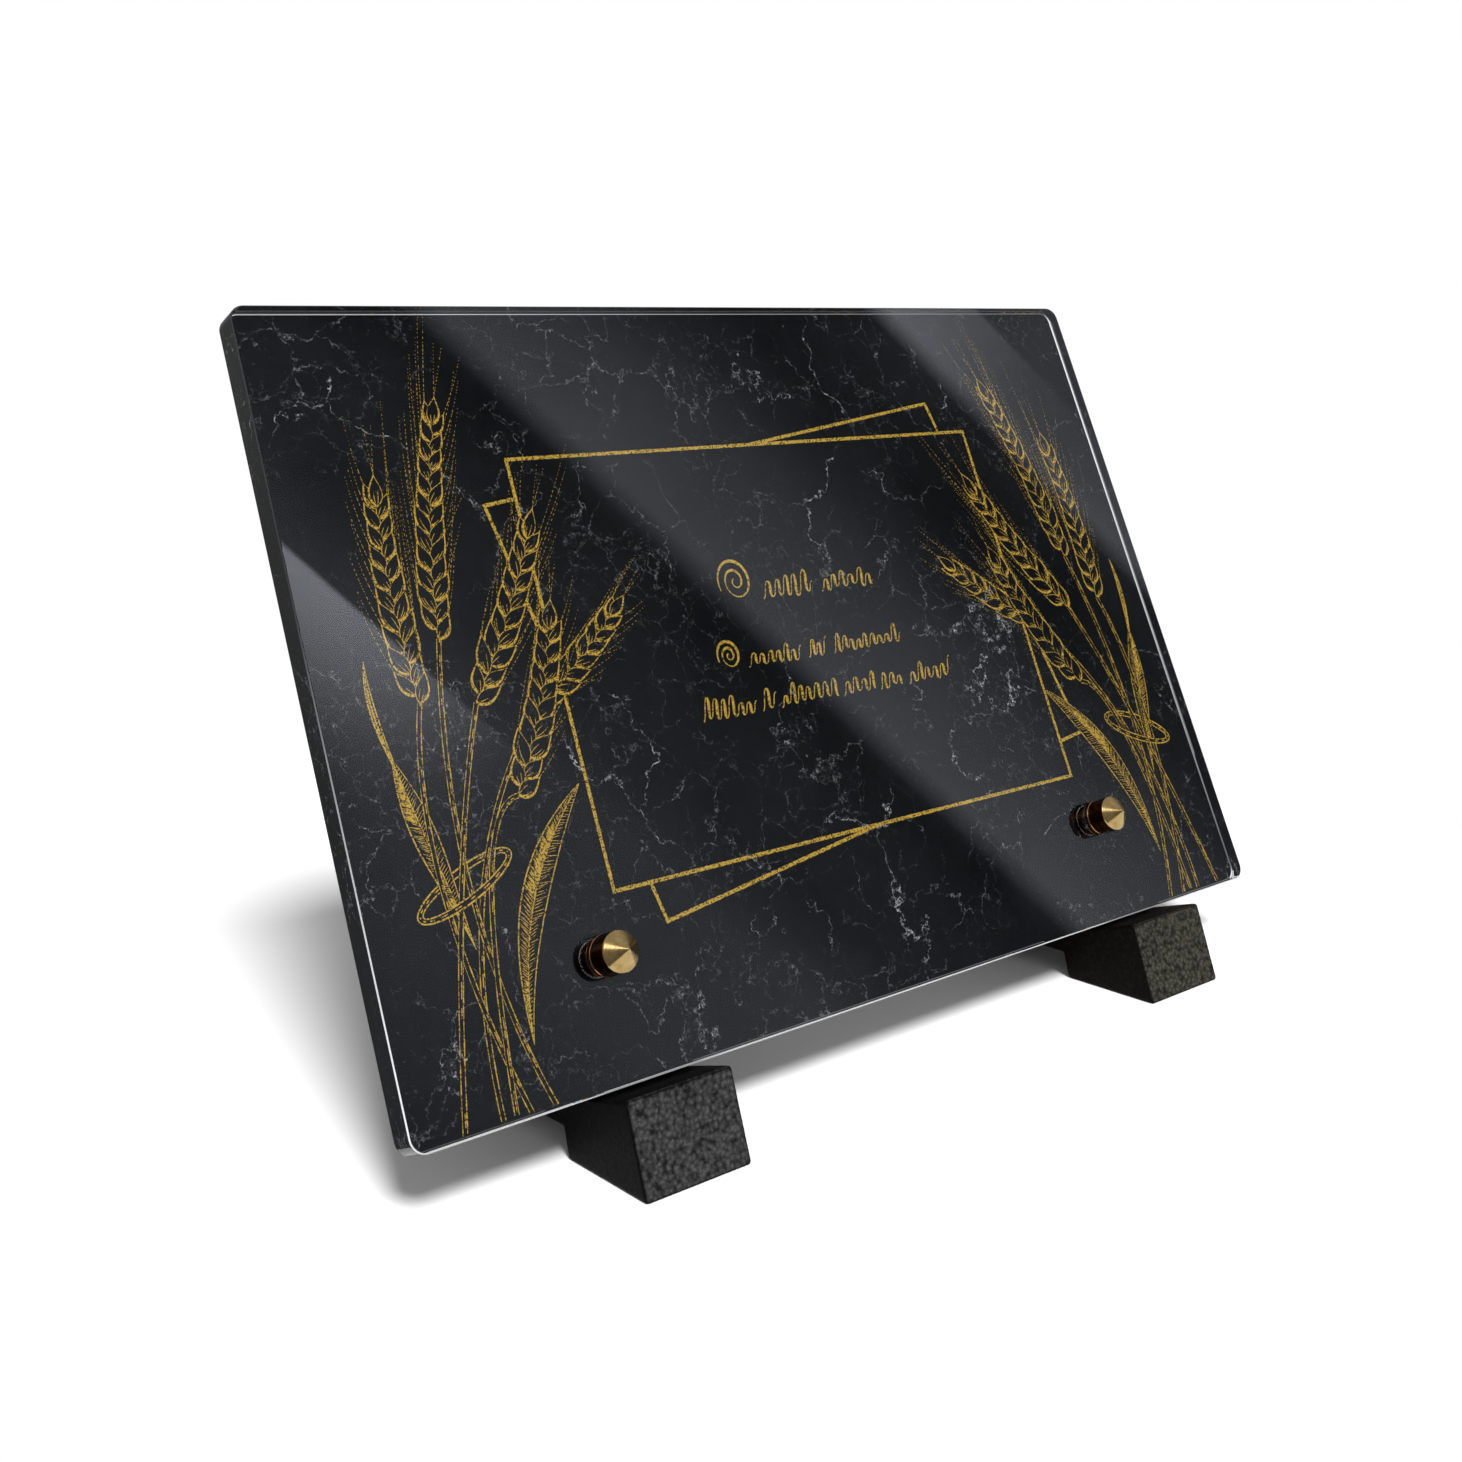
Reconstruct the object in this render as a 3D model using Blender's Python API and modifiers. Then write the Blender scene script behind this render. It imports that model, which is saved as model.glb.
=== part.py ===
"""Grave plaque: a clear slab leans back on two granite feet and is held by two brass screws.

The slab carries its picture on its back face. Metres, +Z up, front towards -Y.
The feet stand on Z = 0, and the origin is under the middle of the whole plaque.
"""
import math

import bmesh
import bpy
from mathutils import Vector

# Slab
SLAB_WIDTH = 0.300
SLAB_HEIGHT = 0.200
SLAB_THICKNESS = 0.008
SLAB_CORNER_RADIUS = 0.004
SLAB_EDGE_CHAMFER = 0.0004
SLAB_LEAN = math.radians(22.1)
SLAB_LIFT = 0.0204

# Screws: a turned cap with a pointed front, and a shank that runs into the foot
SCREW_SIDE_INSET = 0.059
SCREW_UP_SLAB = 0.030
CAP_DIAMETER = 0.0102
CAP_LENGTH = 0.0066
CAP_POINT = 0.0040
CAP_BASE_CHAMFER = 0.0003
SHANK_DIAMETER = 0.0050
SHANK_IN_FOOT = 0.020
BORE_DIAMETER = 0.0088

# Feet: toe under the slab's lower edge, arch, heel, and a seat behind the slab
FOOT_WIDTH = 0.031
FOOT_SIDE_SHIFT = 0.0052
FOOT_EDGE_ROUND = 0.0008
LEDGE_REACH = 0.0099
LEDGE_SLOPE = math.radians(16.5)
FRONT_LEAN = math.radians(17.4)
TOE_LENGTH = 0.032
ARCH_LENGTH = 0.036
ARCH_HEIGHT = 0.0074
ARCH_LEAN = math.radians(14.0)
HEEL_LENGTH = 0.024
HEEL_HEIGHT = 0.015
SEAT_HEIGHT = 0.048
SEAT_TOP_DEPTH = 0.012

# Clearances between pieces that touch
CONTACT_GAP = 0.0003
HOLE_CLEARANCE = 0.0003
HOLE_END_CLEARANCE = 0.001

# Fineness of round shapes
CORNER_STEPS = 8
CAP_STEPS = 48
BORE_STEPS = 48
HOLE_STEPS = 24

GRANITE = ("granite", (0.030, 0.028, 0.026), 0.55, 0.0)
ACRYLIC = ("clear_acrylic", (0.012, 0.013, 0.015), 0.05, 0.0)
BRASS = ("brass", (0.62, 0.44, 0.17), 0.28, 1.0)


def clear_scene():
    for obj in list(bpy.data.objects):
        bpy.data.objects.remove(obj, do_unlink=True)


def make_collection(name):
    collection = bpy.data.collections.new(name)
    bpy.context.scene.collection.children.link(collection)
    return collection


def make_material(name, color, roughness, metallic):
    material = bpy.data.materials.new(name)
    material.use_nodes = True
    shader = material.node_tree.nodes["Principled BSDF"]
    shader.inputs["Base Color"].default_value = (*color, 1.0)
    shader.inputs["Roughness"].default_value = roughness
    shader.inputs["Metallic"].default_value = metallic
    material.diffuse_color = (*color, 1.0)
    return material


def make_empty(name, collection, parent=None):
    empty = bpy.data.objects.new(name, None)
    collection.objects.link(empty)
    empty.parent = parent
    return empty


def outline_solid(name, points, thickness, collection):
    """A flat outline, given as points in its own XY plane, made thick along its own Z."""
    curve = bpy.data.curves.new(name + "_outline", "CURVE")
    curve.dimensions = "2D"
    curve.fill_mode = "BOTH"
    curve.extrude = thickness / 2
    spline = curve.splines.new("POLY")
    spline.points.add(len(points) - 1)
    for spline_point, (x, y) in zip(spline.points, points):
        spline_point.co = (x, y, 0.0, 1.0)
    spline.use_cyclic_u = True
    guide = bpy.data.objects.new(name + "_outline", curve)
    collection.objects.link(guide)

    depsgraph = bpy.context.evaluated_depsgraph_get()
    mesh = bpy.data.meshes.new_from_object(guide.evaluated_get(depsgraph))
    bpy.data.objects.remove(guide, do_unlink=True)
    bm = bmesh.new()
    bm.from_mesh(mesh)
    bmesh.ops.remove_doubles(bm, verts=bm.verts, dist=CONTACT_GAP / 30)
    bmesh.ops.dissolve_limit(bm, angle_limit=math.radians(0.5), verts=bm.verts, edges=bm.edges)
    bmesh.ops.recalc_face_normals(bm, faces=bm.faces)
    bm.to_mesh(mesh)
    bm.free()
    solid = bpy.data.objects.new(name, mesh)
    solid.data.name = name
    collection.objects.link(solid)
    return solid


def weigh_outer_edges(mesh, least_angle):
    """Mark the edges that stick out more sharply than an angle, for a bevel by weight."""
    bm = bmesh.new()
    bm.from_mesh(mesh)
    weight = bm.edges.layers.float.new("bevel_weight_edge")
    for edge in bm.edges:
        if edge.is_convex and edge.calc_face_angle(0.0) > least_angle:
            edge[weight] = 1.0
    bm.to_mesh(mesh)
    bm.free()


def add_bevel(obj, width, segments):
    bevel = obj.modifiers.new("edge_round", "BEVEL")
    bevel.limit_method = "WEIGHT"
    bevel.width = width
    bevel.segments = segments


def add_cutter(name, radius, length, steps, parent, location, collection):
    """A cylinder across the slab, centred on a place in the slab's own frame."""
    bm = bmesh.new()
    bmesh.ops.create_cone(bm, cap_ends=True, segments=steps, radius1=radius, radius2=radius, depth=length)
    mesh = bpy.data.meshes.new(name)
    bm.to_mesh(mesh)
    bm.free()
    cutter = bpy.data.objects.new(name, mesh)
    cutter.parent = parent
    cutter.location = location
    cutter.rotation_euler = (math.radians(90), 0.0, 0.0)
    cutter.hide_render = True
    cutter.display_type = "WIRE"
    collection.objects.link(cutter)
    return cutter


def cut(obj, cutter):
    boolean = obj.modifiers.new("cut_" + cutter.name, "BOOLEAN")
    boolean.operation = "DIFFERENCE"
    boolean.solver = "EXACT"
    boolean.object = cutter


def smooth(mesh, angle):
    mesh.shade_smooth()
    mesh.set_sharp_from_angle(angle=math.radians(angle))


def slab_point(up, back):
    """Side-view place (Y, Z) of a point given up the slab and back from its front face."""
    y = up * math.sin(SLAB_LEAN) + back * math.cos(SLAB_LEAN)
    z = SLAB_LIFT + up * math.cos(SLAB_LEAN) - back * math.sin(SLAB_LEAN)
    return y, z


def rounded_rectangle(width, height, radius):
    """Corner points, counter-clockwise, of a rectangle that stands on X = 0, Y = 0 at mid-width."""
    centres = (
        (width / 2 - radius, radius, -90),
        (width / 2 - radius, height - radius, 0),
        (radius - width / 2, height - radius, 90),
        (radius - width / 2, radius, 180),
    )
    points = []
    for x, y, start in centres:
        for step in range(CORNER_STEPS + 1):
            angle = math.radians(start + 90 * step / CORNER_STEPS)
            points.append((x + radius * math.cos(angle), y + radius * math.sin(angle)))
    return points


def foot_outline():
    """Side view (Y, Z) of a foot, from the front of the toe round by the heel and the seat."""
    back_gap = SLAB_THICKNESS + CONTACT_GAP
    ledge_inner = Vector(slab_point(-CONTACT_GAP, back_gap))
    ledge_front_y = -LEDGE_REACH
    ledge_front_z = ledge_inner.y + (ledge_inner.x - ledge_front_y) * math.tan(LEDGE_SLOPE)
    toe_front_y = ledge_front_y - ledge_front_z * math.tan(FRONT_LEAN)
    toe_back_y = toe_front_y + TOE_LENGTH
    heel_front_y = toe_back_y + ARCH_LENGTH
    heel_back_y = heel_front_y + HEEL_LENGTH
    arch_shift = ARCH_HEIGHT * math.tan(ARCH_LEAN)
    seat_top = Vector(slab_point(SEAT_HEIGHT, back_gap))
    return [
        (toe_front_y, 0.0),
        (toe_back_y, 0.0),
        (toe_back_y + arch_shift, ARCH_HEIGHT),
        (heel_front_y - arch_shift, ARCH_HEIGHT),
        (heel_front_y, 0.0),
        (heel_back_y, 0.0),
        (heel_back_y, HEEL_HEIGHT),
        (seat_top.x + SEAT_TOP_DEPTH, seat_top.y),
        (seat_top.x, seat_top.y),
        (ledge_inner.x, ledge_inner.y),
        (ledge_front_y, ledge_front_z),
    ]


def middle_shift():
    """Shift along Y that brings the middle of the whole plaque over the origin."""
    outline = foot_outline()
    slab_top_back = slab_point(SLAB_HEIGHT, SLAB_THICKNESS)[0]
    slab_bottom_front = slab_point(0.0, 0.0)[0]
    front = min([y for y, z in outline] + [slab_bottom_front])
    back = max([y for y, z in outline] + [slab_top_back])
    return -(front + back) / 2


def build_slab(slab_frame, material, pieces, cutters):
    outline = rounded_rectangle(SLAB_WIDTH, SLAB_HEIGHT, SLAB_CORNER_RADIUS)
    slab = outline_solid("plate", outline, SLAB_THICKNESS, pieces)
    slab.parent = slab_frame
    slab.location = (0.0, SLAB_THICKNESS / 2, 0.0)
    slab.rotation_euler = (math.radians(90), 0.0, 0.0)
    weigh_outer_edges(slab.data, math.radians(60))
    add_bevel(slab, SLAB_EDGE_CHAMFER, 1)
    smooth(slab.data, 30)
    slab.data.materials.append(material)
    for side, x in screw_places():
        place = (x, SLAB_THICKNESS / 2, SCREW_UP_SLAB)
        bore = add_cutter(
            side + "_bore", BORE_DIAMETER / 2, 2 * SLAB_THICKNESS, BORE_STEPS, slab_frame, place, cutters
        )
        cut(slab, bore)
    return slab


def build_foot(side, screw_x, root, slab_frame, material, pieces, cutters):
    foot = outline_solid(side + "_foot", foot_outline(), FOOT_WIDTH, pieces)
    foot.parent = root
    foot.location = (screw_x + FOOT_SIDE_SHIFT, 0.0, 0.0)
    foot.rotation_euler = (math.radians(90), 0.0, math.radians(90))
    weigh_outer_edges(foot.data, math.radians(10))
    add_bevel(foot, FOOT_EDGE_ROUND, 2)
    foot.data.materials.append(material)
    hole_start = SLAB_THICKNESS
    hole_end = SLAB_THICKNESS + CONTACT_GAP + SHANK_IN_FOOT + HOLE_END_CLEARANCE
    place = (screw_x, (hole_start + hole_end) / 2, SCREW_UP_SLAB)
    hole = add_cutter(
        side + "_foot_hole", SHANK_DIAMETER / 2 + HOLE_CLEARANCE, hole_end - hole_start, HOLE_STEPS,
        slab_frame, place, cutters,
    )
    cut(foot, hole)
    return foot


def build_screw(side, screw_x, slab_frame, material, pieces):
    """A turned screw. Its own Z runs out of the slab's front, from the cap's base at Z = 0."""
    cap_radius = CAP_DIAMETER / 2
    shank_radius = SHANK_DIAMETER / 2
    shank_end = -(CONTACT_GAP + SLAB_THICKNESS + CONTACT_GAP + SHANK_IN_FOOT)
    profile = [
        (0.0, CAP_LENGTH + CAP_POINT),
        (cap_radius, CAP_LENGTH),
        (cap_radius, CAP_BASE_CHAMFER),
        (cap_radius - CAP_BASE_CHAMFER, 0.0),
        (shank_radius, 0.0),
        (shank_radius, shank_end),
        (0.0, shank_end),
    ]
    mesh = bpy.data.meshes.new(side + "_screw")
    edges = [(index, index + 1) for index in range(len(profile) - 1)]
    mesh.from_pydata([(radius, 0.0, z) for radius, z in profile], edges, [])
    screw = bpy.data.objects.new(side + "_screw", mesh)
    screw.parent = slab_frame
    screw.location = (screw_x, -CONTACT_GAP, SCREW_UP_SLAB)
    screw.rotation_euler = (math.radians(90), 0.0, 0.0)
    turning = screw.modifiers.new("turning", "SCREW")
    turning.axis = "Z"
    turning.steps = CAP_STEPS
    turning.render_steps = CAP_STEPS
    turning.use_merge_vertices = True
    turning.merge_threshold = 0.00001
    turning.use_smooth_shade = True
    mesh.materials.append(material)
    pieces.objects.link(screw)
    return screw


def screw_places():
    """Each screw's side and its place across the slab, inset from the slab's own side edge."""
    across = SLAB_WIDTH / 2 - SCREW_SIDE_INSET
    return (("left", -across), ("right", across))


def main():
    clear_scene()
    pieces = make_collection("grave_plaque")
    cutters = make_collection("cutters")
    granite = make_material(*GRANITE)
    acrylic = make_material(*ACRYLIC)
    brass = make_material(*BRASS)

    root = make_empty("plaque_root", pieces)
    root.location = (0.0, middle_shift(), 0.0)
    slab_frame = make_empty("slab_frame", pieces, root)
    slab_frame.location = (0.0, 0.0, SLAB_LIFT)
    slab_frame.rotation_euler = (-SLAB_LEAN, 0.0, 0.0)

    build_slab(slab_frame, acrylic, pieces, cutters)
    for side, screw_x in screw_places():
        build_foot(side, screw_x, root, slab_frame, granite, pieces, cutters)
        build_screw(side, screw_x, slab_frame, brass, pieces)


main()
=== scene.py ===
import math
import random

import bmesh
import bpy
import numpy as np
from mathutils import Matrix, Vector, noise
from mathutils.bvhtree import BVHTree


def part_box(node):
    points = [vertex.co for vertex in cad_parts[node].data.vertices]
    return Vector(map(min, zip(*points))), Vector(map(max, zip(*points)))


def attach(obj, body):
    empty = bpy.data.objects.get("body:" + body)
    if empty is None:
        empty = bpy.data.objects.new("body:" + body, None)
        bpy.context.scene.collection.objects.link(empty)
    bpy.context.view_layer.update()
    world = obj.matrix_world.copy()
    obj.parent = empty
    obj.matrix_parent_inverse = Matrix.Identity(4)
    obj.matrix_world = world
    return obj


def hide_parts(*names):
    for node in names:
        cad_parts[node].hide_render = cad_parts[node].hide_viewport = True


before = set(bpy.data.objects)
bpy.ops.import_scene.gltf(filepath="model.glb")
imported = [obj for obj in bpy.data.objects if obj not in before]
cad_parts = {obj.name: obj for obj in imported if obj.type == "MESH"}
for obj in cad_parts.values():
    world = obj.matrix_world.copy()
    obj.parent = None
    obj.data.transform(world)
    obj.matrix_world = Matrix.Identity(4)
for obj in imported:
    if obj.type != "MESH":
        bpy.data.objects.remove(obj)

# The noise has a seed of its own, set here so that every run gives the same stone
noise.seed_set(7)

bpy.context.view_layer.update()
BODY = "root"
MM = 0.001

# The slab's own frame: X across, Y back into the slab, Z up its front face
SLAB_LEAN = math.radians(22.1)
SLAB_THICKNESS = 0.008
SLAB_HEIGHT = 0.200
SLAB_CHAMFER = 0.0004
SLAB_CORNER_RADIUS = 0.004
CORNER_STEPS = 10

# The ground bevel: where it starts and ends, as shares of the slab's own bevel from the front face,
# how far it lies above that, and the heights up the slab between which it is painted darker, a painted
# shade
BEVEL_SHARES = (0.22, 0.94)
BEVEL_LIFT = 0.000003
BEVEL_SHADE_HEIGHTS = (0.02, 0.14)

# The print lies just inside the slab's back face, with a black ring round each screw: a painted shadow
# of the cap
PRINT_DEPTH = 0.00770
PRINT_THICKNESS = 0.00004
PRINT_EDGE_INSET = 0.0006
PRINT_HOLE_MARGIN = 0.0003
CAP_SHADOW_RADIUS = 0.0058
CAP_SHADOW_SOFTNESS = 0.0003
GOLD_LIFT = 0.00003
GOLD_LAYER_STEP = 0.0000002
GOLD_LAYERS = 40

# Screws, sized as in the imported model
SCREW_SIDE_INSET = 0.059
SCREW_UP_SLAB = 0.030
CAP_DIAMETER = 0.0102
CAP_LENGTH = 0.0066
CAP_POINT = 0.0040
CAP_BASE_CHAMFER = 0.0003
SHANK_DIAMETER = 0.0050
SHANK_IN_FOOT = 0.020
BORE_DIAMETER = 0.0088
CONTACT_GAP = 0.0003

# Fine detail of the turned caps: a blunted tip, a broken rim and a shallow groove
TIP_RADIUS = 0.00018
RIM_BREAK = 0.00010
GROOVE_DEPTH = 0.00008
CONE_RINGS = 24
TURNING_STEPS = 128

# Feet: the hammered front leans back; the rest is sawn
FRONT_LEAN = math.radians(17.4)
LEDGE_SLOPE = math.radians(16.5)
STONE_CELL = 0.00043
KNOCK_SIZE = 0.00125
HAMMER_DEPTH = 0.00055
SAWN_DEPTH = 0.00009
LEDGE_GREY = 0.45

# Granite colours: where it is sawn, where it is hammered, and the painted highlight on the tops of its
# hammered grains
GREY_GRANITE = ((0.0020, 0.0020, 0.0021), (0.034, 0.034, 0.034), (0.066, 0.066, 0.066))
BROWN_GRANITE = ((0.0032, 0.0025, 0.0018), (0.032, 0.032, 0.025), (0.066, 0.064, 0.052))

# Camera: a lens as long as the photograph's, from the front left
SENSOR_WIDTH = 36.0
FOCAL_LENGTH = 42.90
CAMERA_PLACE = (-0.3213, -0.3587, 0.1846)
VIEW_TURN = math.radians(38.98)
VIEW_DROP = math.radians(3.99)
VIEW_ROLL = math.radians(-1.66)
VIEW_SHIFT = -0.158


def slab_frame():
    """Matrix from the slab's own frame to the world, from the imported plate's box."""
    low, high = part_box("plate")
    front_y = low.y - SLAB_CHAMFER * math.sin(SLAB_LEAN)
    back_bottom_z = low.z - SLAB_CHAMFER * math.sin(SLAB_LEAN)
    front_z = back_bottom_z + SLAB_THICKNESS * math.sin(SLAB_LEAN)
    place = Matrix.Translation(((low.x + high.x) / 2, front_y, front_z))
    return place @ Matrix.Rotation(-SLAB_LEAN, 4, "X")


SLAB = slab_frame()
SLAB_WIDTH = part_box("plate")[1].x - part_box("plate")[0].x
SCREW_X = SLAB_WIDTH / 2 - SCREW_SIDE_INSET
UPRIGHT = Matrix.Rotation(math.radians(90), 4, "X")


# Materials

def new_material(name):
    """A new material, its node tree and its shader."""
    material = bpy.data.materials.new(name)
    material.use_nodes = True
    tree = material.node_tree
    return material, tree, tree.nodes["Principled BSDF"]


def add_node(tree, kind, inputs=None, **settings):
    """A node with its settings, and its inputs by name or number: values, or sockets to link."""
    node = tree.nodes.new(kind)
    for key, value in settings.items():
        setattr(node, key, value)
    for key, value in (inputs or {}).items():
        if isinstance(value, bpy.types.NodeSocket):
            tree.links.new(value, node.inputs[key])
        else:
            node.inputs[key].default_value = value
    return node


def maths(tree, operation, *values):
    return add_node(tree, "ShaderNodeMath", dict(enumerate(values)), operation=operation).outputs[0]


def vector_maths(tree, operation, *values):
    """The result of a sum on vectors: a number for a length or a dot product, else a vector."""
    node = add_node(tree, "ShaderNodeVectorMath", dict(enumerate(values)), operation=operation)
    return node.outputs["Value" if operation in ("LENGTH", "DOT_PRODUCT") else "Vector"]


def parts_of(tree, vector):
    """The X, Y and Z sockets of a vector."""
    return add_node(tree, "ShaderNodeSeparateXYZ", {"Vector": vector}).outputs


def object_place(tree):
    """A point's place in the piece's own frame."""
    return add_node(tree, "ShaderNodeTexCoord").outputs["Object"]


def noise_value(tree, place, scale, detail=2.0, roughness=0.5, shift=0.0):
    if shift:
        place = vector_maths(tree, "ADD", place, (shift, shift, shift))
    inputs = {"Vector": place, "Scale": scale, "Detail": detail, "Roughness": roughness}
    return add_node(tree, "ShaderNodeTexNoise", inputs).outputs["Fac"]


def smooth_step(tree, value, start, end, low=0.0, high=1.0):
    """Runs smoothly from low to high while a value runs from start to end."""
    inputs = {"Value": value, "From Min": start, "From Max": end, "To Min": low, "To Max": high}
    node = add_node(tree, "ShaderNodeMapRange", inputs, interpolation_type="SMOOTHSTEP")
    return node.outputs["Result"]


def color_ramp(tree, value, stops):
    """A colour by a value from 0 to 1, through stops of place and colour."""
    node = add_node(tree, "ShaderNodeValToRGB", {"Fac": value})
    elements = node.color_ramp.elements
    while len(elements) < len(stops):
        elements.new(0.5)
    for element, (place, color) in zip(elements, stops):
        element.position = place
        element.color = (*color, 1.0)
    return node.outputs["Color"]


def mixed_color(tree, factor, first, second):
    inputs = {0: factor, 6: first, 7: second}
    return add_node(tree, "ShaderNodeMix", inputs, data_type="RGBA").outputs[2]


def mixed_value(tree, factor, first, second):
    inputs = {0: factor, 2: first, 3: second}
    return add_node(tree, "ShaderNodeMix", inputs, data_type="FLOAT").outputs[0]


def add_bump(tree, shader, height, distance):
    bump = add_node(tree, "ShaderNodeBump", {"Height": height, "Distance": distance})
    tree.links.new(bump.outputs["Normal"], shader.inputs["Normal"])


def acrylic_material():
    """Clear polished acrylic, by plain values alone."""
    material, tree, shader = new_material("clear_polished_acrylic")
    shader.inputs["Base Color"].default_value = (1.0, 1.0, 1.0, 1.0)
    shader.inputs["Transmission Weight"].default_value = 1.0
    shader.inputs["IOR"].default_value = 1.49
    shader.inputs["Roughness"].default_value = 0.0
    return material


def ground_acrylic_material():
    """Ground acrylic: the bevel round the slab's front, which catches the light as a thin line.
    It is pale along the bottom and painted darker towards the top, a painted shade."""
    material, tree, shader = new_material("ground_acrylic")
    place = object_place(tree)
    grain = noise_value(tree, place, 1800.0, 2.0)
    # Painted shade: the pale line is mixed to near black higher up the slab
    painted_shade_fade = smooth_step(tree, parts_of(tree, place)["Z"], *BEVEL_SHADE_HEIGHTS)
    pale = color_ramp(tree, grain, ((0.30, (0.50, 0.51, 0.52)), (0.70, (0.62, 0.63, 0.64))))
    color = mixed_color(tree, painted_shade_fade, pale, (0.03, 0.03, 0.03, 1.0))
    tree.links.new(color, shader.inputs["Base Color"])
    shader.inputs["Roughness"].default_value = 0.7
    shader.inputs["Specular IOR Level"].default_value = 0.1
    return material


def bent_place(tree, place, scale, amount, detail, shift):
    """A place pushed about by a rough noise, so that what is drawn there turns jagged."""
    moved = vector_maths(tree, "ADD", place, (shift, shift, shift))
    inputs = {"Vector": moved, "Scale": scale, "Detail": detail, "Roughness": 0.62}
    push = add_node(tree, "ShaderNodeTexNoise", inputs).outputs["Color"]
    centred = vector_maths(tree, "SUBTRACT", push, (0.5, 0.5, 0.5))
    return vector_maths(tree, "MULTIPLY_ADD", centred, (amount, amount, amount), place)


def cracks(tree, place, scale, width, shift, break_scale, break_at):
    """Thin branching veins along the edges of cells, broken up by a noise."""
    moved = vector_maths(tree, "ADD", place, (shift, shift * 1.3, shift * 0.7))
    inputs = {"Vector": moved, "Scale": scale}
    cells = add_node(tree, "ShaderNodeTexVoronoi", inputs, feature="DISTANCE_TO_EDGE")
    line = smooth_step(tree, cells.outputs["Distance"], 0.0, width * scale, 1.0, 0.0)
    breaks = noise_value(tree, place, break_scale, 4.0, 0.6, shift + 3.1)
    return maths(tree, "MULTIPLY", line, smooth_step(tree, breaks, break_at, break_at + 0.14))


def marble_print_material():
    """Near-black marble as it is printed: cloudy ground, broken white veins, hair lines and dust."""
    material, tree, shader = new_material("marble_print")
    place = object_place(tree)
    rough = bent_place(tree, place, 22.0, 0.060, 10.0, 0.0)
    fine = bent_place(tree, place, 60.0, 0.022, 8.0, 2.0)
    # Veins from broad to hair: place, scale, width, shift, scale and start of the breaks, brightness
    kinds = (
        (rough, 15.0, 0.00034, 1.9, 20.0, 0.50, 0.74),
        (rough, 27.0, 0.00027, 6.3, 30.0, 0.50, 0.36),
        (fine, 55.0, 0.00030, 9.1, 26.0, 0.46, 0.18),
        (fine, 110.0, 0.00027, 4.4, 34.0, 0.46, 0.085),
    )
    veins = 0.0
    for *kind, brightness in kinds:
        veins = maths(tree, "MULTIPLY_ADD", cracks(tree, *kind), brightness, veins)
    halo = cracks(tree, rough, 15.0, 0.0045, 1.9, 20.0, 0.52)
    patches = smooth_step(tree, noise_value(tree, place, 380.0, 4.0, 0.6, 2.2), 0.38, 0.66, 0.12, 1.5)
    beads = smooth_step(tree, noise_value(tree, place, 1200.0, 2.0, 0.5, 5.1), 0.44, 0.62, 0.45, 1.7)
    veins = maths(tree, "MULTIPLY", veins, maths(tree, "MULTIPLY", patches, beads))
    dust = smooth_step(tree, noise_value(tree, place, 700.0, 3.0, 0.65, 0.4), 0.60, 0.72)
    dusty = smooth_step(tree, noise_value(tree, rough, 24.0, 4.0, 0.6, 7.7), 0.50, 0.66)
    veins = maths(tree, "MULTIPLY_ADD", maths(tree, "MULTIPLY", dust, dusty), 0.060, veins)
    veins = maths(tree, "MULTIPLY_ADD", maths(tree, "MULTIPLY", dust, halo), 0.10, veins)
    cloud = noise_value(tree, rough, 14.0, 8.0, 0.68)
    dark = (0.36, (0.0030, 0.0038, 0.0050))
    light = (0.72, (0.0160, 0.0170, 0.0195))
    color = mixed_color(tree, veins, color_ramp(tree, cloud, (dark, light)), (0.80, 0.82, 0.86, 1.0))
    # A black ring round each screw, painted into the print: a painted shadow of the cap
    parts = parts_of(tree, place)
    aside = maths(tree, "SUBTRACT", maths(tree, "ABSOLUTE", parts["X"]), SCREW_X)
    above = maths(tree, "SUBTRACT", parts["Z"], SCREW_UP_SLAB)
    offset = add_node(tree, "ShaderNodeCombineXYZ", {"X": aside, "Z": above}).outputs[0]
    away = vector_maths(tree, "LENGTH", offset)
    ring = smooth_step(tree, away, CAP_SHADOW_RADIUS, CAP_SHADOW_RADIUS + CAP_SHADOW_SOFTNESS, 1.0, 0.0)
    color = mixed_color(tree, ring, color, (0.001, 0.001, 0.001, 1.0))
    tree.links.new(color, shader.inputs["Base Color"])
    shader.inputs["Roughness"].default_value = 0.6
    shader.inputs["Specular IOR Level"].default_value = 0.0
    return material


def gold_print_material():
    """Gold ink, flat and slightly grainy."""
    material, tree, shader = new_material("gold_print")
    place = object_place(tree)
    grain = noise_value(tree, place, 2300.0, 2.0)
    color = color_ramp(tree, grain, ((0.38, (0.09, 0.055, 0.010)), (0.50, (0.93, 0.62, 0.095))))
    tree.links.new(color, shader.inputs["Base Color"])
    shader.inputs["Roughness"].default_value = 0.6
    shader.inputs["Specular IOR Level"].default_value = 0.0
    return material


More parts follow.
